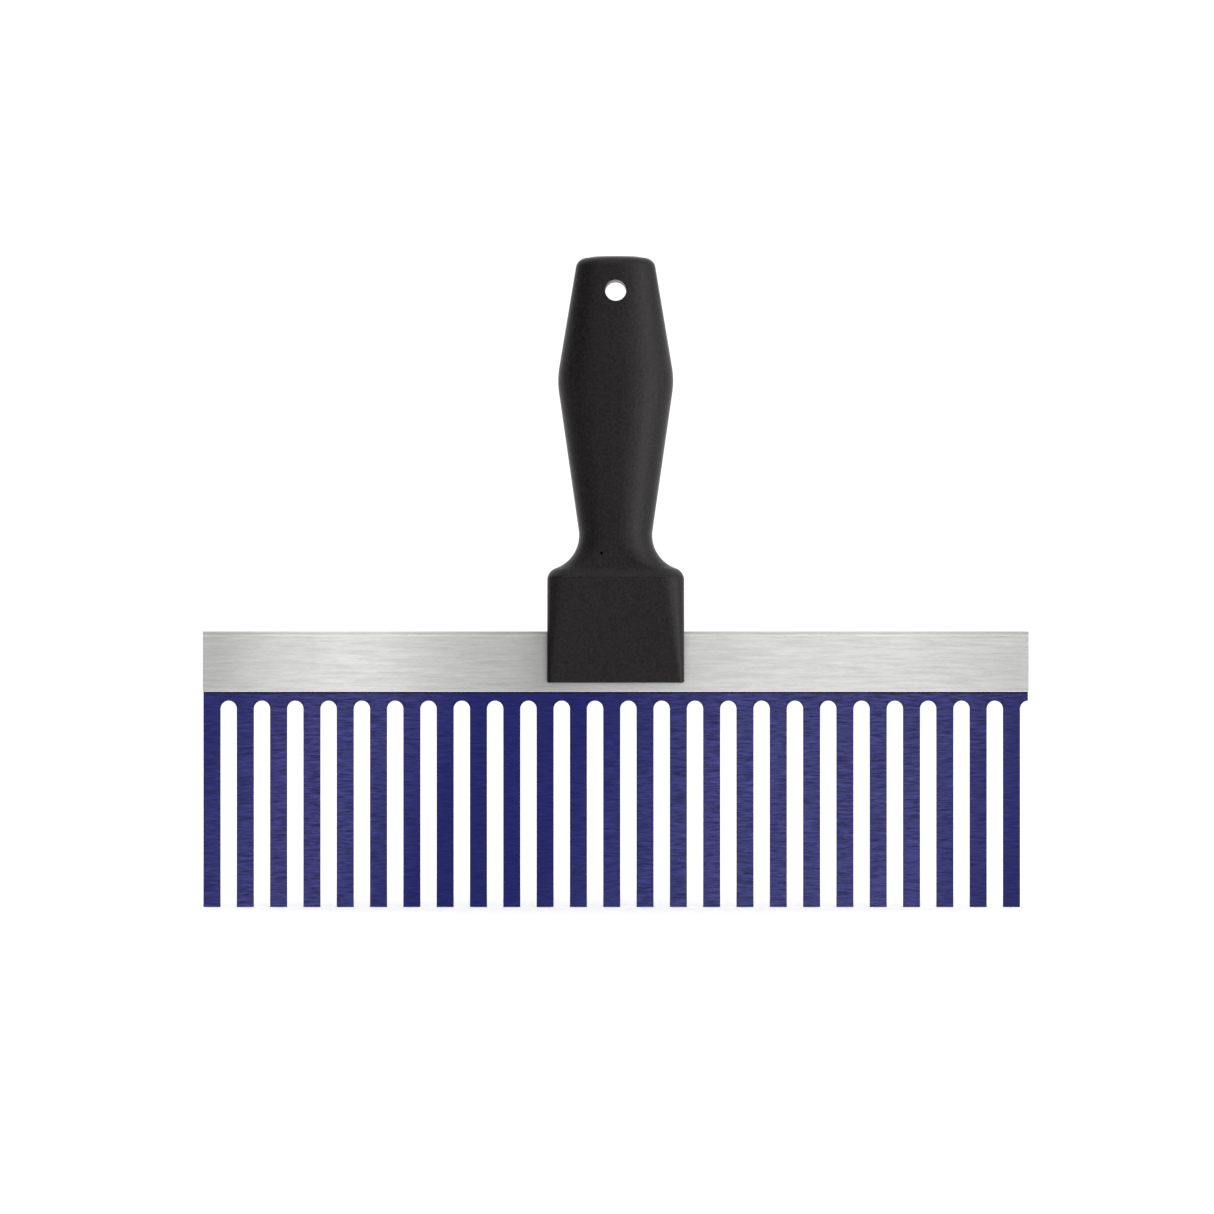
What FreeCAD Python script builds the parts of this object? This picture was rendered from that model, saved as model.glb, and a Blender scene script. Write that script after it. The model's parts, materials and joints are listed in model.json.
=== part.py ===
import FreeCAD, Part
import math
import os
import Sketcher

# A comb-toothed spreading knife: a blued steel blade with straight teeth, an aluminium back folded
# over its top edge, and a two-shell moulded handle screwed together round a riveted steel tang.
# +X runs along the blade, +Y to the back of the tool and +Z up the handle. The origin is at the
# middle of the tooth tips. All sizes are in millimetres.

SIZES = [
    ("blade_length", 304.4, "blade, end to end"),
    ("blade_thickness", 0.5, "blade sheet"),
    ("tooth_length", 76.2, "tooth tip to the round top of a slot"),
    ("tooth_width", 6.3, "one tooth"),
    ("slot_width", 6.0, "gap between two teeth"),
    ("blade_land", 3.3, "solid blade between the slot tops and the lip of the back"),
    ("channel_overhang", 0.2, "aluminium back past each end of the blade"),
    ("channel_height", 22.3, "aluminium back, lip to fold"),
    ("channel_wall", 0.8, "aluminium sheet"),
    ("fold_gap", 0.15, "clearance between the blade's top edge and the inside of the fold"),
    ("jaw_lift", 3.4, "lip of the back to the bottom of the handle"),
    ("slot_clearance", 0.2, "space over the fold inside the handle"),
    ("block_width", 50.4, "handle block across its shoulders"),
    ("block_flare", 0.2, "extra width of the block at its bottom edge"),
    ("block_height", 41.1, "bottom of the handle to its shoulders"),
    ("block_depth_low", 10.4, "block front to back at the bottom"),
    ("block_depth_high", 24.2, "block front to back at its ridge"),
    ("ridge_drop", 2.0, "ridge below the shoulders"),
    ("ridge_round", 2.0, "rounding of the ridge"),
    ("shelf_rise", 2.8, "ridge to the foot of the neck"),
    ("neck_foot_depth", 20.6, "neck front to back at its foot"),
    ("neck_foot_round", 5.0, "hollow between shelf and neck"),
    ("shoulder_round", 4.6, "rounding of the shoulders"),
    ("neck_rise", 4.7, "shoulders to the neck"),
    ("neck_width", 24.28, "neck across, before its hollow"),
    ("bulge_rise", 65.9, "neck to the palm bulge"),
    ("bulge_width", 43.2, "palm bulge across, before its rounding"),
    ("bulge_depth", 30.0, "palm bulge front to back, before its rounding"),
    ("bulge_round_wide", 30.0, "rounding of the bulge seen from the front"),
    ("bulge_round_deep", 60.0, "rounding of the bulge seen from the side"),
    ("end_rise", 44.5, "palm bulge to the corners of the handle's end"),
    ("end_width", 28.4, "handle's end across"),
    ("end_depth", 16.6, "handle's end front to back"),
    ("end_round", 4.0, "rounding of the handle's end"),
    ("crown_rise", 1.15, "corners of the end to its crown"),
    ("corner_wide_low", 1.8, "block's upright corners, seen from the front, at the bottom"),
    ("corner_wide_high", 9.0, "the same at the ridge"),
    ("corner_deep_low", 1.8, "block's upright corners, front to back, at the bottom"),
    ("corner_deep_high", 6.0, "the same at the ridge"),
    ("edge_break", 0.4, "bevel round the bottom of the block"),
    ("hang_rim_round", 0.3, "rounded mouth of the hang hole"),
    ("counterbore_round", 0.4, "rounded mouths of the screw holes"),
    ("shell_wall", 2.5, "wall of the hollow shells"),
    ("rib_thickness", 1.8, "cross ribs inside the shells"),
    ("rib_start", 35.1, "bottom of the handle to the first rib"),
    ("rib_pitch", 14.0, "rib to rib"),
    ("hang_hole_diameter", 7.8, "hang hole"),
    ("hang_hole_drop", 13.0, "hang hole below the crown"),
    ("gate_mark_diameter", 1.0, "moulding gate pit on the neck"),
    ("gate_mark_depth", 0.6, "depth of the pit"),
    ("gate_mark_offset", 5.2, "pit to the left of the centre line"),
    ("gate_mark_rise", 1.9, "pit above the neck"),
    ("tang_thickness", 1.5, "steel tang"),
    ("tang_foot_width", 46.0, "foot of the tang"),
    ("tang_foot_height", 15.5, "foot of the tang, bottom to top"),
    ("tang_foot_lift", 2.6, "bottom of the handle to the foot of the tang"),
    ("tang_stem_width", 14.0, "stem of the tang"),
    ("tang_clearance", 0.2, "space round the tang in the back shell"),
    ("rivet_diameter", 4.0, "rivet shank"),
    ("rivet_clearance", 0.05, "space round a rivet shank"),
    ("rivet_spacing", 16.0, "rivet to rivet"),
    ("rivet_head_diameter", 7.0, "rivet head"),
    ("rivet_head_height", 1.2, "rivet head"),
    ("pocket_clearance", 0.3, "space round a rivet head in the jaws"),
    ("screw_diameter", 3.5, "screw over its thread"),
    ("screw_core_diameter", 2.6, "screw at the root of its thread"),
    ("screw_pitch", 1.3, "thread pitch"),
    ("screw_length", 11.0, "under the head to the tip"),
    ("screw_plain_length", 1.2, "plain shank under the head"),
    ("screw_tip_length", 1.5, "tapered tip"),
    ("screw_head_diameter", 6.6, "pan head"),
    ("screw_head_height", 2.2, "pan head"),
    ("recess_width", 0.9, "arm of the cross recess"),
    ("recess_span", 3.6, "cross recess, arm end to arm end"),
    ("recess_depth", 1.3, "cross recess"),
    ("screw_seat", 4.0, "parting plane to the screw seats in the back shell"),
    ("screw_clearance", 0.2, "space round a screw in the back shell"),
    ("pilot_diameter", 2.8, "blind screw holes in the front shell"),
    ("pilot_spare", 1.0, "hole left beyond a screw's tip"),
    ("boss_wall", 2.2, "plastic round a screw or the hang hole"),
    ("block_screw_spacing", 36.0, "the two screws in the block"),
    ("block_screw_rise", 28.1, "bottom of the handle to the block screws"),
    ("top_screw_drop", 18.2, "top screw below the hang hole"),
    ("tang_end_drop", 11.0, "end of the tang below the top screw"),
    ("mid_screw_drop", 31.0, "middle screw below the end of the tang"),
]

# Shares of the end's width and of the crown's rise at the knee of the crown, and of the level patch.
CROWN_KNEE_WIDTH = 0.56
CROWN_KNEE_RISE = 0.89
CROWN_PATCH_WIDTH = 0.22
# How far the grip's corners eat into its half-sizes: 1.0 would be a true ellipse.
GRIP_ROUNDNESS = 0.92
# Sections through a curved stretch of the handle: at most this far apart, and at least so many steps.
LONGEST_STEP = 1.4
FEWEST_STEPS = 8
# Shorter straight runs between two arcs count as part of the curve.
STRAIGHT_MINIMUM = 1.0
ACROSS_TO_Y = FreeCAD.Rotation(FreeCAD.Vector(1, 0, 0), -90)

# Heights above the tooth tips, and depths behind the parting plane, as expressions on the sheet.
LIP = "(sizes.tooth_length + sizes.blade_land)"
FOLD = f"({LIP} + sizes.channel_height)"
HALF_CHANNEL = "(sizes.blade_thickness / 2 + sizes.channel_wall)"
TANG_REAR = f"({HALF_CHANNEL} + sizes.tang_thickness)"
BLADE_TOP = f"({FOLD} - sizes.channel_wall - sizes.blade_thickness / 2 - sizes.fold_gap)"
HANDLE_FOOT = f"({LIP} + sizes.jaw_lift)"
SHOULDER = f"({HANDLE_FOOT} + sizes.block_height)"
NECK = f"({SHOULDER} + sizes.neck_rise)"
BULGE = f"({NECK} + sizes.bulge_rise)"
END = f"({BULGE} + sizes.end_rise)"
CROWN = f"({END} + sizes.crown_rise)"
HANG_HOLE = f"({CROWN} - sizes.hang_hole_drop)"
TANG_FOOT = f"({HANDLE_FOOT} + sizes.tang_foot_lift)"
RIVET_LINE = f"({TANG_FOOT} + sizes.tang_foot_height / 2)"
BLOCK_SCREWS = f"({HANDLE_FOOT} + sizes.block_screw_rise)"
TOP_SCREW = f"({HANG_HOLE} - sizes.top_screw_drop)"
TANG_END = f"({TOP_SCREW} - sizes.tang_end_drop)"
MID_SCREW = f"({TANG_END} - sizes.mid_screw_drop)"
PILOT_END = "(sizes.screw_length - sizes.screw_seat + sizes.pilot_spare)"

RIVETS = [
    ("tang_rivet_left", "-sizes.rivet_spacing"),
    ("tang_rivet_centre", "0"),
    ("tang_rivet_right", "sizes.rivet_spacing"),
]
# Name, sideways place, height, and where the front and back bosses end.
SCREWS = [
    ("handle_screw_block_left", "-sizes.block_screw_spacing / 2", BLOCK_SCREWS, "0", "0"),
    ("handle_screw_block_right", "sizes.block_screw_spacing / 2", BLOCK_SCREWS, "0", "0"),
    ("handle_screw_mid", "0", MID_SCREW, HALF_CHANNEL, TANG_REAR),
    ("handle_screw_top", "0", TOP_SCREW, "0", "0"),
]

doc = FreeCAD.newDocument("comb_knife")


# ---------------------------------------------------------------- the sheet and small helpers


def make_sheet():
    sheet = doc.addObject("Spreadsheet::Sheet", "sizes")
    for row, (alias, number, meaning) in enumerate(SIZES, start=1):
        sheet.set(f"A{row}", meaning)
        sheet.set(f"B{row}", str(number))
        sheet.setAlias(f"B{row}", alias)
    doc.recompute()
    return sheet


sizes = make_sheet()


def value(expression):
    """What an expression on the sheet comes to, as a plain number."""
    return float(sizes.evalExpression(expression.replace("sizes.", "")))


def bind(thing, **expressions):
    """Tie properties of an object to the sheet. Two underscores in a name stand for a dot."""
    for name, expression in expressions.items():
        thing.setExpression(name.replace("__", "."), expression)


def place(thing, x="0", y="0", z="0"):
    bind(thing, Placement__Base__x=x, Placement__Base__y=y, Placement__Base__z=z)


def new_body(name):
    body = doc.addObject("PartDesign::Body", name)
    body.Label = name
    return body


def origin_feature(body, role):
    return next(part for part in body.Origin.OriginFeatures if part.Role == role)


def new_sketch(body, name, role, offset="0"):
    """A sketch on one of its body's own origin planes, moved along the plane's normal."""
    sketch = body.newObject("Sketcher::SketchObject", name)
    sketch.AttachmentSupport = [(origin_feature(body, role), "")]
    sketch.MapMode = "FlatFace"
    sketch.setExpression("AttachmentOffset.Base.z", offset)
    return sketch


def pin_point(sketch, geometry, point, x, y):
    """Hold one point of a sketch at x, y from the origin, both expressions."""
    for kind, expression in (("DistanceX", x), ("DistanceY", y)):
        number = value(expression)
        index = sketch.addConstraint(Sketcher.Constraint(kind, -1, 1, geometry, point, number))
        sketch.setExpression(f"Constraints[{index}]", expression)


def add_outline(sketch, points, arches=()):
    """A closed outline through points. A side whose number is in arches is a half circle instead
    of a line; it joins two points at one height and stands above them."""
    spots = [FreeCAD.Vector(value(x), value(y), 0) for x, y in points]
    count = len(points)
    first = len(sketch.Geometry)
    ends = []
    for side in range(count):
        start = spots[side]
        end = spots[(side + 1) % count]
        if side in arches:
            middle = (start + end) * 0.5
            radius = (end - start).Length / 2
            circle = Part.Circle(middle, FreeCAD.Vector(0, 0, 1), radius)
            sketch.addGeometry(Part.ArcOfCircle(circle, 0, math.pi), False)
            ends.append((2, 1) if start.x < end.x else (1, 2))
        else:
            sketch.addGeometry(Part.LineSegment(start, end), False)
            ends.append((1, 2))
    for side in range(count):
        following = (side + 1) % count
        joint = (first + side, ends[side][1], first + following, ends[following][0])
        sketch.addConstraint(Sketcher.Constraint("Coincident", *joint))
    for side, (x, y) in enumerate(points):
        pin_point(sketch, first + side, ends[side][0], x, y)
        if side in arches:
            height = Sketcher.Constraint("DistanceY", -1, 1, first + side, 3, value(y))
            sketch.setExpression(f"Constraints[{sketch.addConstraint(height)}]", y)


def add_box_outline(sketch, left, right, bottom, top):
    add_outline(sketch, [(left, bottom), (right, bottom), (right, top), (left, top)])


def add_circle(sketch, radius, x, y):
    circle = Part.Circle(FreeCAD.Vector(value(x), value(y), 0), FreeCAD.Vector(0, 0, 1), value(radius))
    index = sketch.addGeometry(circle, False)
    size = sketch.addConstraint(Sketcher.Constraint("Radius", index, value(radius)))
    sketch.setExpression(f"Constraints[{size}]", radius)
    pin_point(sketch, index, 3, x, y)


def pad(body, name, sketch, length, two_sided=False, reverse=False):
    feature = body.newObject("PartDesign::Pad", name)
    feature.Profile = sketch
    feature.SideType = "Symmetric" if two_sided else "One side"
    feature.Reversed = reverse
    bind(feature, Length=length)
    doc.recompute()
    return feature


def cut_feature(body, kind, name, sketch, reverse=False, **expressions):
    """A Pocket or Groove that has to take material away."""
    before = body.Shape.Volume
    feature = body.newObject(kind, name)
    feature.Profile = sketch
    feature.Reversed = reverse
    if kind == "PartDesign::Groove":
        feature.ReferenceAxis = (sketch, ["V_Axis"])
    if kind == "PartDesign::Pocket" and "Length" not in expressions:
        feature.SideType = "Symmetric"
        feature.Type = "ThroughAll"
    bind(feature, **expressions)
    doc.recompute()
    if body.Shape.Volume >= before - 1e-6:
        raise RuntimeError(f"{name} cuts nothing")
    return feature


def row_of(body, name, feature, axis, pitch, count, reverse=False):
    """Repeat a feature along an axis of its own sketch."""
    pattern = body.newObject("PartDesign::LinearPattern", name)
    pattern.Originals = [feature]
    pattern.Direction = (feature.Profile[0], [axis])
    pattern.Reversed = reverse
    pattern.Mode = "Spacing"
    bind(pattern, Offset=pitch, Occurrences=count)
    body.Tip = pattern
    doc.recompute()
    return pattern


def block(name, x, y, z):
    """A box between the low and high expressions given for each axis."""
    box = doc.addObject("Part::Box", name)
    bind(box, Length=f"({x[1]}) - ({x[0]})", Width=f"({y[1]}) - ({y[0]})", Height=f"({z[1]}) - ({z[0]})")
    place(box, x[0], y[0], z[0])
    return box


def rod(name, radius, x, y, z):
    """A cylinder along Y, between the low and high expressions of y."""
    cylinder = doc.addObject("Part::Cylinder", name)
    cylinder.Placement = FreeCAD.Placement(FreeCAD.Vector(0, 0, 0), ACROSS_TO_Y)
    bind(cylinder, Radius=radius, Height=f"({y[1]}) - ({y[0]})")
    place(cylinder, x, y[0], z)
    return cylinder


def combine(kind, name, things):
    """A fuse or a common of several objects."""
    result = doc.addObject(kind, name)
    result.Shapes = things
    return result


def take_away(name, base, tool):
    result = doc.addObject("Part::Cut", name)
    result.Base = base
    result.Tool = tool
    return result


# ---------------------------------------------------------------- blade, back, tang and rivets


def rivet_circles(sketch, z):
    for _, x in RIVETS:
        add_circle(sketch, "sizes.rivet_diameter / 2 + sizes.rivet_clearance", x, z)


def make_blade():
    body = new_body("blade")
    left = "(-sizes.blade_length / 2)"
    sheet_sketch = new_sketch(body, "blade_sheet", "XZ_Plane")
    add_box_outline(sheet_sketch, left, "sizes.blade_length / 2", "0", BLADE_TOP)
    pad(body, "blade_pad", sheet_sketch, "sizes.blade_thickness", two_sided=True)

    slot_sketch = new_sketch(body, "blade_slot", "XZ_Plane")
    slot_left = f"({left} + sizes.tooth_width)"
    slot_right = f"({slot_left} + sizes.slot_width)"
    spring = "(sizes.tooth_length - sizes.slot_width / 2)"
    below = "(-sizes.tooth_width)"
    corners = [(slot_left, below), (slot_right, below), (slot_right, spring), (slot_left, spring)]
    add_outline(slot_sketch, corners, arches=[2])
    slot = cut_feature(body, "PartDesign::Pocket", "blade_slot_cut", slot_sketch)
    pitch = "sizes.tooth_width + sizes.slot_width"
    slots = "floor((sizes.blade_length - sizes.tooth_width) / (sizes.tooth_width + sizes.slot_width)) + 1"
    row_of(body, "blade_slots", slot, "H_Axis", pitch, slots)

    hole_sketch = new_sketch(body, "blade_rivet_holes", "XZ_Plane")
    rivet_circles(hole_sketch, RIVET_LINE)
    cut_feature(body, "PartDesign::Pocket", "blade_rivet_cut", hole_sketch)
    return body


def make_channel():
    body = new_body("back_channel")
    inner = "sizes.blade_thickness / 2"
    fold_centre = f"({FOLD} - {HALF_CHANNEL})"
    profile = [
        (HALF_CHANNEL, LIP),
        (HALF_CHANNEL, fold_centre),
        (f"-{HALF_CHANNEL}", fold_centre),
        (f"-{HALF_CHANNEL}", LIP),
        (f"-{inner}", LIP),
        (f"-{inner}", fold_centre),
        (inner, fold_centre),
        (inner, LIP),
    ]
    fold = new_sketch(body, "channel_fold", "YZ_Plane")
    add_outline(fold, profile, arches=[1, 5])
    length = "sizes.blade_length + 2 * sizes.channel_overhang"
    pad(body, "channel_pad", fold, length, two_sided=True)
    holes = new_sketch(body, "channel_rivet_holes", "XZ_Plane")
    rivet_circles(holes, RIVET_LINE)
    cut_feature(body, "PartDesign::Pocket", "channel_rivet_cut", holes)
    return body


def make_tang():
    """A steel T: its foot lies on the back of the channel and its stem runs up the handle."""
    body = new_body("tang_plate")
    foot = "sizes.tang_foot_width / 2"
    stem = "sizes.tang_stem_width / 2"
    foot_top = "sizes.tang_foot_height"
    stem_top = f"({TANG_END} - {TANG_FOOT})"
    outline = [
        (f"-{foot}", "0"),
        (foot, "0"),
        (foot, foot_top),
        (stem, foot_top),
        (stem, stem_top),
        (f"-{stem}", stem_top),
        (f"-{stem}", foot_top),
        (f"-{foot}", foot_top),
    ]
    plate = new_sketch(body, "tang_outline", "XZ_Plane")
    add_outline(plate, outline)
    pad(body, "tang_pad", plate, "sizes.tang_thickness", reverse=True)
    holes = new_sketch(body, "tang_holes", "XZ_Plane")
    rivet_circles(holes, "sizes.tang_foot_height / 2")
    screw_hole = "sizes.screw_diameter / 2 + sizes.screw_clearance"
    add_circle(holes, screw_hole, "0", f"{MID_SCREW} - {TANG_FOOT}")
    cut_feature(body, "PartDesign::Pocket", "tang_hole_cut", holes)
    place(body, y=HALF_CHANNEL, z=TANG_FOOT)
    return body


def turned(body, name, half_outline):
    """Turn an outline in the body's XY plane about its Y axis."""
    sketch = new_sketch(body, f"{name}_outline", "XY_Plane")
    add_outline(sketch, half_outline)
    feature = body.newObject("PartDesign::Revolution", f"{name}_turned")
    feature.Profile = sketch
    feature.ReferenceAxis = (sketch, ["V_Axis"])
    doc.recompute()


def make_rivet(name, x):
    """A rivet from the front of the channel to the back of the tang, its head rims bevelled."""
    body = new_body(name)
    shank = "sizes.rivet_diameter / 2"
    head = "sizes.rivet_head_diameter / 2"
    bevel = "sizes.rivet_head_height / 2"
    front = f"(-{HALF_CHANNEL})"
    outline = [
        ("0", f"{front} - sizes.rivet_head_height"),
        (f"{head} - {bevel}", f"{front} - sizes.rivet_head_height"),
        (head, f"{front} - {bevel}"),
        (head, front),
        (shank, front),
        (shank, TANG_REAR),
        (head, TANG_REAR),
        (head, f"{TANG_REAR} + {bevel}"),
        (f"{head} - {bevel}", f"{TANG_REAR} + sizes.rivet_head_height"),
        ("0", f"{TANG_REAR} + sizes.rivet_head_height"),
    ]
    turned(body, name, outline)
    place(body, x=x, z=RIVET_LINE)
    return body


def make_screw(name, x, z):
    """A self-tapping pan-head screw: head on the seat, shank towards the front."""
    body = new_body(name)
    crest = "sizes.screw_diameter / 2"
    core = "sizes.screw_core_diameter / 2"
    head = "sizes.screw_head_diameter / 2"
    bevel = "sizes.screw_head_height / 3"
    tip = "(-sizes.screw_length)"
    outline = [
        ("0", tip),
        (f"{core} / 2", tip),
        (crest, f"{tip} + sizes.screw_tip_length"),
        (crest, "0"),
        (head, "0"),
        (head, f"sizes.screw_head_height - {bevel}"),
        (f"{head} - {bevel}", "sizes.screw_head_height"),
        ("0", "sizes.screw_head_height"),
    ]
    turned(body, name, outline)

    groove_sketch = new_sketch(body, f"{name}_thread", "XY_Plane")
    start = "(-sizes.screw_plain_length)"
    valley = [
        (core, f"{start} - sizes.screw_pitch / 2"),
        (f"{crest} + sizes.screw_pitch / 4", f"{start} - sizes.screw_pitch"),
        (f"{crest} + sizes.screw_pitch / 4", start),
    ]
    add_outline(groove_sketch, valley)
    groove = cut_feature(body, "PartDesign::Groove", f"{name}_groove", groove_sketch)
    threaded = "(sizes.screw_length - sizes.screw_plain_length - sizes.screw_tip_length)"
    turns = f"floor({threaded} / sizes.screw_pitch)"
    row_of(body, f"{name}_turns", groove, "V_Axis", "sizes.screw_pitch", turns, reverse=True)

    cross = new_sketch(body, f"{name}_cross", "XZ_Plane", "-sizes.screw_head_height")
    arm = "sizes.recess_width / 2"
    reach = "sizes.recess_span / 2"
    quarter = [(reach, f"-{arm}"), (reach, arm), (arm, arm)]
    plus = list(quarter)
    for _ in range(3):
        quarter = [(f"-({across})", along) for along, across in quarter]
        plus += quarter
    add_outline(cross, plus)
    recess = {"Length": "sizes.recess_depth"}
    cut_feature(body, "PartDesign::Pocket", f"{name}_recess", cross, reverse=True, **recess)
    place(body, x=x, y="sizes.screw_seat", z=z)
    return body


# ---------------------------------------------------------------- the outer form of the handle


class RoundedRun:
    """Half-sizes of the handle against height: straight runs joined by tangent arcs."""

    def __init__(self, corners, radii):
        self.corners = corners
        self.arcs = []
        for index, radius in enumerate(radii, start=1):
            if radius:
                self.arcs.append(self.round_corner(index, radius))

    def round_corner(self, index, radius):
        """Start and end heights, centre, radius and side of the arc at one corner."""
        height, size = self.corners[index]
        before = self.unit(index, index - 1)
        after = self.unit(index, index + 1)
        half_angle = math.acos(before[0] * after[0] + before[1] * after[1]) / 2
        reach = radius / math.tan(half_angle)
        inward = (before[0] + after[0], before[1] + after[1])
        scale = radius / math.sin(half_angle) / math.hypot(*inward)
        centre = (height + inward[0] * scale, size + inward[1] * scale)
        side = -1 if inward[1] > 0 else 1
        return (height + before[0] * reach, height + after[0] * reach, centre, radius, side)

    def unit(self, start, end):
        rise = self.corners[end][0] - self.corners[start][0]
        run = self.corners[end][1] - self.corners[start][1]
        length = math.hypot(rise, run)
        return (rise / length, run / length)

    def at(self, height):
        for start, end, centre, radius, side in self.arcs:
            if start <= height <= end:
                return centre[1] + side * math.sqrt(max(radius**2 - (height - centre[0]) ** 2, 0))
        for (low, size_low), (high, size_high) in zip(self.corners, self.corners[1:]):
            if height <= high:
                break
        return size_low + (size_high - size_low) * (height - low) / (high - low)


def corner_reach(before, corner, after, radius):
    """How far a tangent arc of this radius reaches along the runs from its corner."""
    first = math.atan2(corner[1] - before[1], corner[0] - before[0])
    second = math.atan2(after[1] - corner[1], after[0] - corner[0])
    return radius * math.tan(abs(second - first) / 2)


def front_run():
    """Half-widths, seen from the front. The hollow of the neck takes what the shoulder leaves."""
    foot = (value(HANDLE_FOOT), (sizes.block_width + sizes.block_flare) / 2)
    shoulder = (value(SHOULDER), sizes.block_width / 2)
    neck = (value(NECK), sizes.neck_width / 2)
    bulge = (value(BULGE), sizes.bulge_width / 2)
    corners = [foot, shoulder, neck, bulge] + crown_corners(sizes.end_width / 2)
    run = math.dist(shoulder, neck) - corner_reach(foot, shoulder, neck, sizes.shoulder_round)
    hollow = 0.99 * run / corner_reach(shoulder, neck, bulge, 1.0)
    radii = [sizes.shoulder_round, hollow, sizes.bulge_round_wide, sizes.end_round, 0]
    return RoundedRun(corners, radii)


def side_run():
    """Half-depths, seen from the side."""
    ridge = value(SHOULDER) - sizes.ridge_drop
    corners = [
        (value(HANDLE_FOOT), sizes.block_depth_low / 2),
        (ridge, sizes.block_depth_high / 2),
        (ridge + sizes.shelf_rise, sizes.neck_foot_depth / 2),
        (value(BULGE), sizes.bulge_depth / 2),
    ] + crown_corners(sizes.end_depth / 2)
    radii = [sizes.ridge_round, sizes.neck_foot_round, sizes.bulge_round_deep, sizes.end_round, 0]
    return RoundedRun(corners, radii)


def crown_corners(half):
    """The rounded end: its corner, the knee of its crown and the rim of the level patch on top."""
    knee = value(END) + sizes.crown_rise * CROWN_KNEE_RISE
    return [(value(END), half), (knee, half * CROWN_KNEE_WIDTH), (value(CROWN), half * CROWN_PATCH_WIDTH)]


FRONT = front_run()
SIDE = side_run()


def blend(height, low, high):
    """0 below low, 1 above high, and a smooth rise between."""
    share = min(max((height - low) / (high - low), 0), 1)
    return share * share * (3 - 2 * share)


def corner_radii(height):
    """The upright corners: small at the foot, growing to the ridge, then melting into the grip."""
    ridge = value(SHOULDER) - sizes.ridge_drop
    up = min((height - value(HANDLE_FOOT)) / (ridge - value(HANDLE_FOOT)), 1)
    wide = sizes.corner_wide_low + (sizes.corner_wide_high - sizes.corner_wide_low) * up
    deep = sizes.corner_deep_low + (sizes.corner_deep_high - sizes.corner_deep_low) * up
    waist = value(NECK) + 2 * sizes.neck_rise
    grip = blend(height, ridge, waist)
    wide = wide * (1 - grip) + FRONT.at(height) * GRIP_ROUNDNESS * grip
    deep = deep * (1 - grip) + SIDE.at(height) * GRIP_ROUNDNESS * grip
    return wide, deep


def section(height, inset):
    """A level rounded rectangle: four straight sides and four quarter ellipses."""
    half_wide = FRONT.at(height) - inset
    half_deep = SIDE.at(height) - inset
    thinnest = sizes.edge_break
    wide, deep = corner_radii(height)
    wide = min(max(wide - inset, thinnest), half_wide * GRIP_ROUNDNESS)
    deep = min(max(deep - inset, thinnest), half_deep * GRIP_ROUNDNESS)
    edges = []
    for turn in range(4):
        x_sign = 1 if turn in (0, 3) else -1
        y_sign = 1 if turn in (0, 1) else -1
        side_end = FreeCAD.Vector(x_sign * half_wide, y_sign * (half_deep - deep), height)
        corner = FreeCAD.Vector(x_sign * half_wide, y_sign * half_deep, height)
        face_end = FreeCAD.Vector(x_sign * (half_wide - wide), y_sign * half_deep, height)
        poles = [side_end, corner, face_end] if turn in (0, 2) else [face_end, corner, side_end]
        arc = Part.BezierCurve()
        arc.setPoles(poles)
        arc.setWeight(2, math.sqrt(0.5))
        if edges:
            edges.append(Part.LineSegment(previous, poles[0]).toShape())
        edges.append(arc.toShape())
        previous = poles[-1]
    edges.append(Part.LineSegment(previous, edges[0].Vertexes[0].Point).toShape())
    return Part.Wire(edges)


def curved_zones():
    """Stretches of height where the front or the side outline is an arc, joined where they meet."""
    spans = sorted((start, end) for start, end, *_ in FRONT.arcs + SIDE.arcs)
    zones = [list(spans[0])]
    for start, end in spans[1:]:
        if start > zones[-1][1] + STRAIGHT_MINIMUM:
            zones.append([start, end])
        else:
            zones[-1][1] = max(zones[-1][1], end)
    return zones


def handle_solid(low, high, inset):
    """The handle between two heights, its sides moved in by inset: smooth lofts through the
    curved zones, and ruled ones along the straight runs between them."""
    levels = [(low, inset)]
    if inset == 0:
        levels = [(low, sizes.edge_break), (low + sizes.edge_break, 0)]
    pieces = []
    for start, end in curved_zones():
        if start >= high:
            break
        levels.append((start, inset))
        pieces.append(Part.makeLoft([section(*level) for level in levels], True, True))
        steps = max(math.ceil((end - start) / LONGEST_STEP), FEWEST_STEPS)
        heights = [start + (end - start) * step / steps for step in range(steps + 1)]
        pieces.append(Part.makeLoft([section(height, inset) for height in heights], True, False))
        levels = [(end, inset)]
    corners = [height for height, _ in FRONT.corners if levels[0][0] < height < high]
    levels += [(height, inset) for height in corners + [high]]
    pieces.append(Part.makeLoft([section(*level) for level in levels], True, True))
    return pieces[0].multiFuse(pieces[1:])


def make_form(name, low, high, inset):
    form = doc.addObject("Part::Feature", name)
    form.Shape = handle_solid(low, high, inset)
    if not form.Shape.isValid() or len(form.Shape.Solids) != 1:
        raise RuntimeError(f"{name} is not one valid solid")
    return form


# ---------------------------------------------------------------- the two handle shells


def rib_heights():
    """Ribs from the first one up to the boss of the hang hole."""
    first = f"{HANDLE_FOOT} + sizes.rib_start"
    room = value(HANG_HOLE) - sizes.hang_hole_diameter / 2 - sizes.boss_wall - value(first)
    count = math.floor(room / sizes.rib_pitch) + 1
    return [f"({first} + {number} * sizes.rib_pitch)" for number in range(count)]


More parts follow.
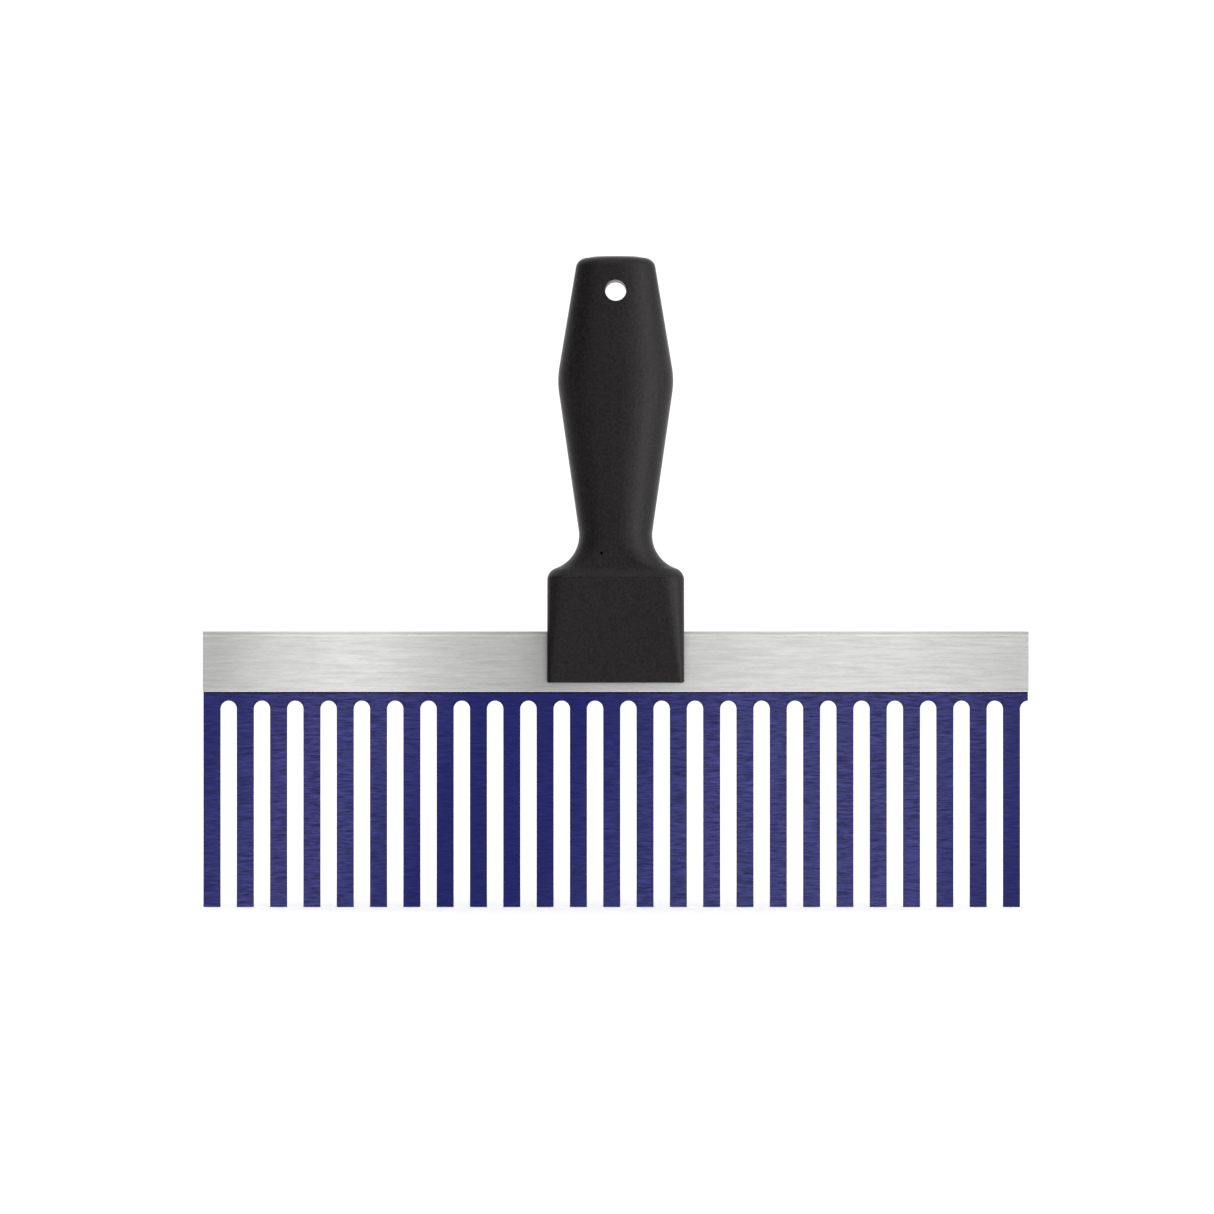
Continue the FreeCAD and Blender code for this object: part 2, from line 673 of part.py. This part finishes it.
def half_members(side, near, far):
    """Ribs and the boss of the hang hole in one half, between the y expressions near and far."""
    members = []
    wide = "sizes.bulge_width"
    for number, height in enumerate(rib_heights(), start=1):
        top = f"({height} + sizes.rib_thickness)"
        members.append(block(f"{side}_rib_{number}", (f"-{wide}", wide), (near, far), (height, top)))
    radius = "sizes.hang_hole_diameter / 2 + sizes.boss_wall"
    members.append(rod(f"{side}_hang_boss", radius, "0", (near, far), HANG_HOLE))
    return members


def make_front_shell(form, core):
    """The front half: blind screw bosses, ribs, and a recess for the channel and rivet heads."""
    deep = "(-sizes.bulge_depth)"
    wide = "sizes.block_width"
    space = block("front_space", (f"-{wide}", wide), (deep, "0"), ("0", CROWN))
    half = combine("Part::MultiCommon", "front_half", [form, space])
    skin = take_away("front_skin", half, core)
    members = half_members("front", deep, "0")
    for name, x, z, front_end, _ in SCREWS:
        radius = "sizes.pilot_diameter / 2 + sizes.boss_wall"
        members.append(rod(f"{name}_front_boss", radius, x, (deep, front_end), z))
    bones = combine("Part::MultiFuse", "front_bones", members)
    inside = combine("Part::MultiCommon", "front_inside", [form, bones])
    whole = combine("Part::MultiFuse", "front_whole", [skin, inside])

    slot_top = f"({FOLD} + sizes.slot_clearance)"
    channel = block("front_channel_slot", (f"-{wide}", wide), (f"-{HALF_CHANNEL}", "1"), ("0", slot_top))
    cuts = [channel, rod("front_hang_hole", "sizes.hang_hole_diameter / 2", "0", (deep, "1"), HANG_HOLE)]
    pocket = "sizes.rivet_head_diameter / 2 + sizes.pocket_clearance"
    pocket_end = f"(-{HALF_CHANNEL} - sizes.rivet_head_height - sizes.pocket_clearance)"
    for name, x in RIVETS:
        cuts.append(rod(f"{name}_front_pocket", pocket, x, (pocket_end, "0"), RIVET_LINE))
    for name, x, z, front_end, _ in SCREWS:
        mouth = f"({front_end} + 1)"
        cuts.append(rod(f"{name}_pilot", "sizes.pilot_diameter / 2", x, (f"-{PILOT_END}", mouth), z))
    cuts.append(gate_mark())
    bare = take_away("front_bare", whole, combine("Part::MultiFuse", "front_cuts", cuts))
    rims = [("0", HANG_HOLE, "sizes.hang_hole_diameter / 2", "sizes.hang_rim_round")]
    return round_mouths("handle_front_shell", bare, rims)


def gate_mark():
    """A small round pit where the neck was fed in the mould."""
    height = f"({NECK} + sizes.gate_mark_rise)"
    half_wide = FRONT.at(value(height))
    share = sizes.gate_mark_offset / half_wide
    surface = SIDE.at(value(height)) * math.sqrt(1 - share * share)
    floor_depth = f"(-{surface:.3f} + sizes.gate_mark_depth)"
    radius = "sizes.gate_mark_diameter / 2"
    return rod("gate_mark", radius, "-sizes.gate_mark_offset", ("-sizes.bulge_depth", floor_depth), height)


def on_rim(edge, x, z, radius):
    """Whether an edge lies on the outer mouth of a round hole, seen along Y."""
    points = edge.discretize(5)
    off_circle = max(abs(math.hypot(point.x - x, point.z - z) - radius) for point in points)
    outside = sizes.screw_seat + sizes.screw_head_height
    return off_circle < 0.05 and min(abs(point.y) for point in points) > outside


def round_mouths(name, bare, rims):
    """The finished shell: the mouths of its holes rounded over."""
    doc.recompute()
    edges = []
    for x, z, radius, size in rims:
        for number, edge in enumerate(bare.Shape.Edges, start=1):
            if on_rim(edge, value(x), value(z), value(radius)):
                edges.append((number, value(size), value(size)))
    shell = doc.addObject("Part::Fillet", name)
    shell.Base = bare
    shell.Edges = edges
    return shell


def make_back_shell(form, core):
    """The back half: counterbored screw bosses, ribs, and recesses for channel, tang and rivets."""
    deep = "sizes.bulge_depth"
    wide = "sizes.block_width"
    space = block("back_space", (f"-{wide}", wide), ("0", deep), ("0", CROWN))
    half = combine("Part::MultiCommon", "back_half", [form, space])
    skin = take_away("back_skin", half, core)
    head = "(sizes.screw_head_diameter / 2 + sizes.screw_clearance)"
    members = half_members("back", "0", deep)
    for name, x, z, _, back_end in SCREWS:
        boss = f"{head} + sizes.boss_wall"
        members.append(rod(f"{name}_back_boss", boss, x, (back_end, deep), z))
    bones = combine("Part::MultiFuse", "back_bones", members)
    inside = combine("Part::MultiCommon", "back_inside", [form, bones])
    whole = combine("Part::MultiFuse", "back_whole", [skin, inside])

    slot_top = f"({FOLD} + sizes.slot_clearance)"
    cuts = [block("back_channel_slot", (f"-{wide}", wide), ("-1", HALF_CHANNEL), ("0", slot_top))]
    cuts.append(rod("back_hang_hole", "sizes.hang_hole_diameter / 2", "0", ("-1", deep), HANG_HOLE))
    foot = "(sizes.tang_foot_width / 2 + sizes.tang_clearance)"
    stem = "(sizes.tang_stem_width / 2 + sizes.tang_clearance)"
    foot_low = f"({TANG_FOOT} - sizes.tang_clearance)"
    foot_high = f"({TANG_FOOT} + sizes.tang_foot_height + sizes.tang_clearance)"
    stem_high = f"({TANG_END} + sizes.tang_clearance)"
    cuts.append(block("tang_foot_recess", (f"-{foot}", foot), ("-1", TANG_REAR), (foot_low, foot_high)))
    cuts.append(block("tang_stem_recess", (f"-{stem}", stem), ("-1", TANG_REAR), (foot_high, stem_high)))
    pocket = "sizes.rivet_head_diameter / 2 + sizes.pocket_clearance"
    pocket_end = f"({TANG_REAR} + sizes.rivet_head_height + sizes.pocket_clearance)"
    for name, x in RIVETS:
        cuts.append(rod(f"{name}_back_pocket", pocket, x, ("0", pocket_end), RIVET_LINE))
    for name, x, z, _, _ in SCREWS:
        shank = "sizes.screw_diameter / 2 + sizes.screw_clearance"
        cuts.append(rod(f"{name}_shank_hole", shank, x, ("-1", "sizes.screw_seat + 1"), z))
        cuts.append(rod(f"{name}_counterbore", head, x, ("sizes.screw_seat", deep), z))
    bare = take_away("back_bare", whole, combine("Part::MultiFuse", "back_cuts", cuts))
    rims = [("0", HANG_HOLE, "sizes.hang_hole_diameter / 2", "sizes.hang_rim_round")]
    rims += [(x, z, head, "sizes.counterbore_round") for _, x, z, _, _ in SCREWS]
    return round_mouths("handle_back_shell", bare, rims)


# ---------------------------------------------------------------- build, check and write


def build():
    pieces = [make_blade(), make_channel(), make_tang()]
    pieces += [make_rivet(name, x) for name, x in RIVETS]
    pieces += [make_screw(name, x, z) for name, x, z, _, _ in SCREWS]
    form = make_form("handle_form", value(HANDLE_FOOT), value(CROWN), 0)
    floor_top = value(FOLD) + sizes.slot_clearance + sizes.shell_wall
    roof = FRONT.arcs[-1][0]
    core = make_form("handle_core", floor_top, roof, sizes.shell_wall)
    pieces += [make_front_shell(form, core), make_back_shell(form, core)]
    doc.recompute()
    return pieces


def check(pieces):
    for thing in doc.Objects:
        if "Invalid" in thing.State or "Error" in thing.State:
            raise RuntimeError(f"{thing.Label} did not compute")
    for piece in pieces:
        shape = piece.Shape
        if shape.isNull() or not shape.isValid() or len(shape.Solids) != 1:
            raise RuntimeError(f"{piece.Label} is not one valid solid")


def write(pieces):
    os.makedirs("parts", exist_ok=True)
    for piece in pieces:
        piece.Shape.exportStep(f"parts/{piece.Label}.step")
        box = piece.Shape.BoundBox
        print(f"{piece.Label}: {piece.Shape.Volume:.1f} mm3, z {box.ZMin:.2f} to {box.ZMax:.2f}")


def main():
    pieces = build()
    check(pieces)
    write(pieces)


main()
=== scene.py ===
import json
import math

import bpy
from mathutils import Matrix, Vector


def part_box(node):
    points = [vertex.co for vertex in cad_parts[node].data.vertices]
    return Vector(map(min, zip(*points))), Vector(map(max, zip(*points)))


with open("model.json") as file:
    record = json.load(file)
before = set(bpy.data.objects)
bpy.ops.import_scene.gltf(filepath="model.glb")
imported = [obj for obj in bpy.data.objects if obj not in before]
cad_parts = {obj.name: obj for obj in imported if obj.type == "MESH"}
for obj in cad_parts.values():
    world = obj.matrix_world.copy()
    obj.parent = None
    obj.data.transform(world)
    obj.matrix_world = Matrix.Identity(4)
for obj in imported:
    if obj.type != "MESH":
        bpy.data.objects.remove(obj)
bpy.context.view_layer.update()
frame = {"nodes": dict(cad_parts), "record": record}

MM = 0.001

# Edges that the materials follow, from the CAD nodes' own boxes, in metres.
BLADE_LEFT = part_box("blade")[0].x
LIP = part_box("back_channel")[0].z
FOLD_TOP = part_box("back_channel")[1].z
BLOCK_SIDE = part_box("handle_front_shell")[1].x


# ---------------------------------------------------------------- node helpers


class Nodes:
    """A small wrapper that adds nodes to a tree and joins them."""

    def __init__(self, tree):
        self.tree = tree
        tree.nodes.clear()

    def add(self, kind, **settings):
        node = self.tree.nodes.new(kind)
        for name, setting in settings.items():
            setattr(node, name, setting)
        return node

    def join(self, source, target):
        self.tree.links.new(source, target)

    def math(self, operation, first, second=0.0):
        node = self.add("ShaderNodeMath", operation=operation)
        for socket, entry in zip(node.inputs, (first, second)):
            if isinstance(entry, bpy.types.NodeSocket):
                self.join(entry, socket)
            else:
                socket.default_value = entry
        return node.outputs[0]

    def times(self, *factors):
        """The product of two or more factors."""
        product = factors[0]
        for factor in factors[1:]:
            product = self.math("MULTIPLY", product, factor)
        return product

    def place(self):
        """Where a point lies on the object, in metres."""
        return self.add("ShaderNodeTexCoord").outputs["Object"]

    def split(self, vector):
        """The x, y and z parts of a vector."""
        node = self.add("ShaderNodeSeparateXYZ")
        self.join(vector, node.inputs[0])
        return node.outputs

    def stretched(self, scale):
        mapping = self.add("ShaderNodeMapping")
        self.join(self.place(), mapping.inputs["Vector"])
        mapping.inputs["Scale"].default_value = scale
        return mapping.outputs["Vector"]

    def noise(self, scale, detail=3.0, roughness=0.5):
        """Noise whose features are 1/scale metres long along each axis."""
        node = self.add("ShaderNodeTexNoise")
        self.join(self.stretched(scale), node.inputs["Vector"])
        node.inputs["Scale"].default_value = 1.0
        node.inputs["Detail"].default_value = detail
        node.inputs["Roughness"].default_value = roughness
        return node.outputs["Fac"]

    def spread(self, source, low, high, from_low=0.3, from_high=0.7):
        """Map a noise to a range of values."""
        node = self.add("ShaderNodeMapRange")
        self.join(source, node.inputs["Value"])
        node.inputs["From Min"].default_value = from_low
        node.inputs["From Max"].default_value = from_high
        node.inputs["To Min"].default_value = low
        node.inputs["To Max"].default_value = high
        return node.outputs["Result"]

    def ramp(self, source, stops, smooth=True):
        node = self.add("ShaderNodeValToRGB")
        ramp = node.color_ramp
        ramp.interpolation = "B_SPLINE" if smooth else "LINEAR"
        while len(ramp.elements) < len(stops):
            ramp.elements.new(0.5)
        for element, (position, colour) in zip(ramp.elements, stops):
            element.position = position
            element.color = (*colour, 1.0)
        self.join(source, node.inputs["Fac"])
        return node.outputs["Color"]

    def tint(self, colour, factor):
        """Multiply a colour by a grey factor."""
        node = self.add("ShaderNodeVectorMath", operation="SCALE")
        self.join(colour, node.inputs[0])
        self.join(factor, node.inputs["Scale"])
        return node.outputs[0]

    def bump(self, height, strength, distance):
        node = self.add("ShaderNodeBump")
        self.join(height, node.inputs["Height"])
        node.inputs["Strength"].default_value = strength
        node.inputs["Distance"].default_value = distance
        return node.outputs["Normal"]


def new_material(name):
    material = bpy.data.materials.new(name)
    material.use_nodes = True
    nodes = Nodes(material.node_tree)
    shader = nodes.add("ShaderNodeBsdfPrincipled")
    output = nodes.add("ShaderNodeOutputMaterial")
    nodes.join(shader.outputs["BSDF"], output.inputs["Surface"])
    return material, nodes, shader


# ---------------------------------------------------------------- materials


BRUSHED_ANISOTROPY = 0.4
BRUSHED_BUMP = 0.05 * MM

# The blade's blues, and where each lies along the blade from its left end (0) to its right one (1).
LEFT_END_BLUE = (0.036, 0.039, 0.183)
LEFT_BLUE = (0.059, 0.061, 0.220)
BAND_BLUE = (0.026, 0.030, 0.165)
RIGHT_BLUE = (0.061, 0.063, 0.210)
RIGHT_END_BLUE = (0.032, 0.032, 0.148)
BLADE_BLUES = [
    (0.01, LEFT_END_BLUE),
    (0.11, LEFT_BLUE),
    (0.19, LEFT_BLUE),
    (0.29, BAND_BLUE),
    (0.42, BAND_BLUE),
    (0.59, RIGHT_BLUE),
    (0.81, RIGHT_BLUE),
    (0.95, RIGHT_END_BLUE),
]
# The band leans to the right by this share of its height; the blues reach from one x to the other.
BAND_LEAN = 0.275
BLUES_FROM = -170 * MM
BLUES_TO = 160 * MM
# The brush marks fade out where the blade's red falls from one level to the other.
CLEAR_RED = 0.055
FADED_RED = 0.026
# The teeth: half of one, one with its slot, and the round tops of the slots.
HALF_TOOTH = 3.15 * MM
TOOTH_PITCH = 12.3 * MM
SLOT_TOP = 76.2 * MM


def blued_steel():
    """Blued spring steel with short brush marks, a darker leaning band, darker tooth edges and a painted
    shadow under the aluminium lip.
    """
    material, nodes, shader = new_material("blued_steel")
    x, y, z = nodes.split(nodes.place())
    across = nodes.math("ADD", x, nodes.times(z, -BAND_LEAN))
    colour = nodes.ramp(nodes.spread(across, 0.0, 1.0, BLUES_FROM, BLUES_TO), BLADE_BLUES, smooth=False)
    level = nodes.add("ShaderNodeSeparateColor")
    nodes.join(colour, level.inputs[0])
    contrast = nodes.spread(level.outputs[0], 0.35, 1.0, FADED_RED, CLEAR_RED)
    streaks = nodes.noise((150, 300, 1300), detail=4.0, roughness=0.65)
    fine = nodes.noise((420, 300, 3400), detail=2.0)
    clouds = nodes.noise((14, 14, 22), detail=2.0)
    marks = nodes.math("ADD", nodes.spread(streaks, -0.55, 0.55), nodes.spread(fine, -0.16, 0.16))
    brushed = nodes.math("ADD", nodes.times(marks, contrast), 1.0)

    # The tooth edges are drawn darker, below the slot tops.
    first_tooth = BLADE_LEFT + HALF_TOOTH
    from_middle = nodes.math("PINGPONG", nodes.math("SUBTRACT", x, first_tooth), TOOTH_PITCH / 2)
    edge = nodes.spread(from_middle, 0.0, 0.25, HALF_TOOTH - 0.30 * MM, HALF_TOOTH - 0.08 * MM)
    edge = nodes.times(edge, nodes.math("LESS_THAN", z, SLOT_TOP))
    # A painted shadow on the blade just under the aluminium lip, and on the part hidden behind it.
    painted_lip_shadow = nodes.spread(z, 1.0, 0.30, LIP - 0.75 * MM, LIP - 0.45 * MM)
    plain = nodes.math("SUBTRACT", 1.0, edge)
    shade = nodes.times(brushed, nodes.spread(clouds, 0.94, 1.06), plain, painted_lip_shadow)

    nodes.join(nodes.tint(colour, shade), shader.inputs["Base Color"])
    nodes.join(nodes.spread(streaks, 0.30, 0.44), shader.inputs["Roughness"])
    nodes.join(nodes.bump(fine, 0.12, BRUSHED_BUMP), shader.inputs["Normal"])
    shader.inputs["Metallic"].default_value = 1.0
    shader.inputs["Anisotropic"].default_value = BRUSHED_ANISOTROPY
    return material


# Painted reflection and shade on the aluminium back, against the distance in millimetres to the right of the
# middle:
# darker at the ends and beside the handle, bright between.
BACK_PAINTED_LIGHT = [
    (-148, 0.60),
    (-125, 0.80),
    (-100, 0.91),
    (-85, 0.865),
    (-60, 0.665),
    (-36, 0.545),
    (-29, 0.48),
    (29, 0.70),
    (45, 0.77),
    (60, 0.81),
    (105, 0.81),
    (148, 0.65),
]
BACK_HALF = 150
ALUMINIUM_BLUE = 0.985
BRIGHTEST_ALUMINIUM = (0.97, 0.97, 0.96)
# Its painted shade and highlight against the depth in millimetres below the fold: painted shade on the round
# top, then a painted light line.
FOLD_PAINTED_LIGHT = [(1.9, 1.0), (1.45, 1.18), (1.1, 0.93), (0.75, 0.71), (0.4, 0.66)]
FOLD_DEPTH = 2.8
FOLD_PEAK = 2.0


def aluminium_back():
    """Brushed aluminium sheet with painted reflections, darker towards its ends and beside the handle,
    painted shade and a painted light line at its round top, and a painted highlight along its lip.
    """
    material, nodes, shader = new_material("aluminium_back")
    x, y, z = nodes.split(nodes.place())
    # Painted reflection and shade along the back, from its left end to its right one.
    along = nodes.spread(x, 0.0, 1.0, -BACK_HALF * MM, BACK_HALF * MM)
    stops = [
        (0.5 + place / (2 * BACK_HALF), (level, level, ALUMINIUM_BLUE * level))
        for place, level in BACK_PAINTED_LIGHT
    ]
    colour = nodes.ramp(along, stops, smooth=False)
    streaks = nodes.noise((75, 300, 1300), detail=4.0, roughness=0.65)
    fine = nodes.noise((500, 300, 2600), detail=3.0)

    # Painted shade on the round top of the fold and a painted highlight line just below it.
    climb = nodes.spread(z, 0.0, 1.0, FOLD_TOP - FOLD_DEPTH * MM, FOLD_TOP)
    heights = [(1 - depth / FOLD_DEPTH, (tone / FOLD_PEAK,) * 3) for depth, tone in FOLD_PAINTED_LIGHT]
    fold = nodes.times(nodes.ramp(climb, heights, smooth=False), FOLD_PEAK)
    # A painted highlight along the ragged lower lip of the sheet.
    ragged = nodes.math("ADD", z, nodes.spread(streaks, -0.2 * MM, 0.2 * MM))
    lip = nodes.spread(ragged, 1.45, 1.0, LIP + 0.15 * MM, LIP + 0.38 * MM)
    shade = nodes.times(nodes.spread(streaks, 0.93, 1.07), nodes.spread(fine, 0.955, 1.045), fold, lip)

    capped = nodes.add("ShaderNodeVectorMath", operation="MINIMUM")
    nodes.join(nodes.tint(colour, shade), capped.inputs[0])
    capped.inputs[1].default_value = BRIGHTEST_ALUMINIUM
    nodes.join(capped.outputs[0], shader.inputs["Base Color"])
    nodes.join(nodes.spread(streaks, 0.32, 0.44), shader.inputs["Roughness"])
    nodes.join(nodes.bump(fine, 0.10, BRUSHED_BUMP), shader.inputs["Normal"])
    shader.inputs["Metallic"].default_value = 1.0
    shader.inputs["Anisotropic"].default_value = BRUSHED_ANISOTROPY
    return material


# The plastic's darkest and lightest grains, and its shininess.
DARK_GRAIN = (0.0012, 0.0002, 0.0005)
LIGHT_GRAIN = (0.0112, 0.0082, 0.0095)
PLASTIC_SPECULAR = 0.25
# The moulding gate pit on the front of the neck: its middle and its radius.
GATE_X = -5.2 * MM
GATE_Z = 130.6 * MM
GATE_RADIUS = 0.52 * MM


def black_plastic():
    """Moulded black plastic with a fine spark-eroded texture, a parting line round its edge, and painted
    shade on the block's sides beside the back and in the gate pit.
    """
    material, nodes, shader = new_material("black_plastic")
    grain = nodes.noise((1450, 1450, 1450), detail=3.0, roughness=0.7)
    coarse = nodes.noise((900, 900, 900), detail=2.0)
    clouds = nodes.noise((45, 45, 30), detail=2.0)
    speckle = nodes.math("ADD", nodes.times(coarse, 0.5), nodes.times(grain, 0.5))
    tone = nodes.ramp(speckle, [(0.40, DARK_GRAIN), (0.60, LIGHT_GRAIN)])
    x, y, z = nodes.split(nodes.place())
    from_seam = nodes.math("ABSOLUTE", y)
    seam = nodes.spread(from_seam, 0.35, 1.0, 0.05 * MM, 0.16 * MM)

    # Painted shade: the block's sides are darkened and made rougher beside the aluminium back, where the
    # back blocks the light.
    at_side = nodes.spread(nodes.math("ABSOLUTE", x), 0.0, 1.0, BLOCK_SIDE - 1.8 * MM, BLOCK_SIDE - 0.8 * MM)
    at_back = nodes.spread(z, 0.45, 0.0, FOLD_TOP - 2.8 * MM, FOLD_TOP + 2.2 * MM)
    at_corner = nodes.spread(from_seam, 0.0, 1.0, 1.5 * MM, 4.5 * MM)
    # The gate pit is painted dark on the front shell, as the shade inside it.
    from_gate = [nodes.math("SUBTRACT", x, GATE_X), nodes.math("SUBTRACT", z, GATE_Z)]
    reach = nodes.math("ADD", *[nodes.math("POWER", part, 2.0) for part in from_gate])
    in_pit = nodes.math("LESS_THAN", reach, GATE_RADIUS ** 2)
    at_front = nodes.math("LESS_THAN", y, 0.0)
    painted_shade = nodes.math("MAXIMUM", nodes.times(at_side, at_back, at_corner), nodes.times(in_pit, at_front))
    shade = nodes.times(nodes.spread(clouds, 0.88, 1.12), seam, nodes.math("SUBTRACT", 1.0, painted_shade))

    nodes.join(nodes.tint(tone, shade), shader.inputs["Base Color"])
    roughness = nodes.math("MAXIMUM", nodes.spread(grain, 0.24, 0.46), painted_shade)
    nodes.join(roughness, shader.inputs["Roughness"])
    height = nodes.math("ADD", grain, nodes.times(coarse, 1.5))
    height = nodes.math("ADD", height, nodes.times(seam, 3.0))
    nodes.join(nodes.bump(height, 0.80, 0.08 * MM), shader.inputs["Normal"])
    shader.inputs["Specular IOR Level"].default_value = PLASTIC_SPECULAR
    return material


def plated_steel(name, colour, roughness):
    """Zinc plated or bright steel, faintly mottled."""
    material, nodes, shader = new_material(name)
    mottle = nodes.noise((500, 500, 500), detail=3.0)
    tone = nodes.ramp(mottle, [(0.3, tuple(0.85 * part for part in colour)), (0.7, colour)])
    nodes.join(tone, shader.inputs["Base Color"])
    nodes.join(nodes.spread(mottle, roughness - 0.06, roughness + 0.08), shader.inputs["Roughness"])
    shader.inputs["Metallic"].default_value = 1.0
    return material


MATERIALS = {
    "blued_steel": blued_steel(),
    "aluminium_back": aluminium_back(),
    "black_plastic": black_plastic(),
    "zinc_steel": plated_steel("zinc_steel", (0.62, 0.63, 0.65), 0.32),
    "rivet_steel": plated_steel("rivet_steel", (0.58, 0.58, 0.58), 0.28),
    "screw_steel": plated_steel("screw_steel", (0.55, 0.56, 0.58), 0.30),
}


def dress_cad_nodes():
    """Every CAD node takes its procedural material in place of the plain one."""
    slots = {entry["node"]: entry["material_slot"] for entry in frame["record"]["subparts"]}
    for name, node in frame["nodes"].items():
        node.data.materials.clear()
        node.data.materials.append(MATERIALS[slots[name]])


dress_cad_nodes()


# ---------------------------------------------------------------- floor, light and camera


FLOOR_HALF = 3.0
FLOOR_TONES = [(0.3, (0.938,) * 3), (0.7, (0.944,) * 3)]
# A little light of its own keeps the floor as white as the backdrop.
FLOOR_GLOW = 0.12
WHITE = (1, 1, 1, 1)


def make_floor():
    """A plain pale floor, which the object's reflections don't show."""
    half = FLOOR_HALF
    corners = [(-half, -half, 0), (half, -half, 0), (half, half, 0), (-half, half, 0)]
    mesh = bpy.data.meshes.new("floor")
    mesh.from_pydata(corners, [], [(0, 1, 2, 3)])
    floor = bpy.data.objects.new("floor", mesh)
    bpy.context.collection.objects.link(floor)
    material, nodes, shader = new_material("pale_floor")
    grain = nodes.noise((30, 30, 30), detail=2.0)
    nodes.join(nodes.ramp(grain, FLOOR_TONES), shader.inputs["Base Color"])
    shader.inputs["Roughness"].default_value = 0.9
    shader.inputs["Specular IOR Level"].default_value = 0.0
    shader.inputs["Emission Color"].default_value = WHITE
    shader.inputs["Emission Strength"].default_value = FLOOR_GLOW
    mesh.materials.append(material)
    floor.visible_glossy = False


# Brightness of the room by compass angle, in degrees to the right of the camera seen from the object.
ROOM = [
    (-180, 1.05),
    (-136, 1.05),
    (-118, 0.85),
    (-100, 0.45),
    (-86, 0.22),
    (-50, 0.22),
    (-39, 0.48),
    (-28, 0.92),
    (-15, 0.82),
    (-7, 0.58),
    (3, 0.58),
    (12, 1.15),
    (24, 1.35),
    (34, 1.60),
    (43, 2.90),
    (60, 2.90),
    (71, 1.65),
    (98, 1.15),
    (126, 1.10),
    (180, 1.05),
]
ROOM_PEAK = 3.0
OVERHEAD = 1.30
# Brightness of the room a little and well below the object, as shares of that at its own height.
LOW_SHARE = 0.92
FLOOR_SHARE = 1.30
# A soft lamp low on the left, which lights the grip's left edge.
LAMP_TOWARDS = (-0.84, -0.34, -0.42)
LAMP_STRENGTH = 0.25
BACKDROP = 1.1


def make_world():
    """A white room: dim in front and at the left, with a soft panel at the right."""
    world = bpy.data.worlds.new("soft_room")
    bpy.context.scene.world = world
    world.use_nodes = True
    nodes = Nodes(world.node_tree)
    direction = nodes.add("ShaderNodeTexCoord").outputs["Generated"]
    x, y, z = nodes.split(direction)
    compass = nodes.math("ARCTAN2", x, nodes.times(y, -1.0))
    turn = nodes.spread(compass, 0.0, 1.0, -math.pi, math.pi)
    stops = [((angle + 180) / 360, (level / ROOM_PEAK,) * 3) for angle, level in ROOM]
    around = nodes.times(nodes.ramp(turn, stops, smooth=False), ROOM_PEAK)

    up = nodes.times(nodes.spread(z, 0.0, 1.0, 0.35, 0.90), nodes.spread(around, 0.45, 1.0, 0.25, 0.70))
    low = nodes.spread(z, 1.0, LOW_SHARE, -0.03, -0.15)
    lowest = nodes.spread(z, 1.0, FLOOR_SHARE / LOW_SHARE, -0.22, -0.34)
    light = nodes.times(around, low, lowest)
    light = nodes.math("ADD", light, nodes.times(up, nodes.math("SUBTRACT", OVERHEAD, light)))

    lamp = nodes.add("ShaderNodeVectorMath", operation="DOT_PRODUCT")
    nodes.join(direction, lamp.inputs[0])
    lamp.inputs[1].default_value = Vector(LAMP_TOWARDS).normalized()
    glare = nodes.spread(lamp.outputs["Value"], 0.0, LAMP_STRENGTH, 0.70, 0.96)
    light = nodes.math("ADD", light, glare)

    glow = nodes.add("ShaderNodeBackground")
    glow.inputs["Color"].default_value = WHITE
    nodes.join(light, glow.inputs["Strength"])
    white = nodes.add("ShaderNodeBackground")
    white.inputs["Color"].default_value = WHITE
    white.inputs["Strength"].default_value = BACKDROP
    seen = nodes.add("ShaderNodeLightPath")
    mix = nodes.add("ShaderNodeMixShader")
    nodes.join(seen.outputs["Is Camera Ray"], mix.inputs["Fac"])
    nodes.join(glow.outputs[0], mix.inputs[1])
    nodes.join(white.outputs[0], mix.inputs[2])
    output = nodes.add("ShaderNodeOutputWorld")
    nodes.join(mix.outputs[0], output.inputs["Surface"])


CAMERA_CENTRE = Vector((-3.2, 0.0, 110.8)) * MM
CAMERA_DISTANCE = 2.1
WIDTH_SEEN = 448.3 * MM
SENSOR_WIDTH = 36.0


def make_camera():
    """Straight on from the front, far enough for almost no perspective."""
    data = bpy.data.cameras.new("camera")
    data.sensor_width = SENSOR_WIDTH
    data.lens = SENSOR_WIDTH * CAMERA_DISTANCE / WIDTH_SEEN
    data.clip_end = 20.0
    camera = bpy.data.objects.new("camera", data)
    camera.location = CAMERA_CENTRE + Vector((0, -CAMERA_DISTANCE, 0))
    camera.rotation_euler = (math.pi / 2, 0, 0)
    bpy.context.collection.objects.link(camera)
    bpy.context.scene.camera = camera


def set_colours():
    """Plain colours, with no film-like curve."""
    view = bpy.context.scene.view_settings
    view.view_transform = "Standard"
    view.look = "None"


make_floor()
make_world()
make_camera()
set_colours()
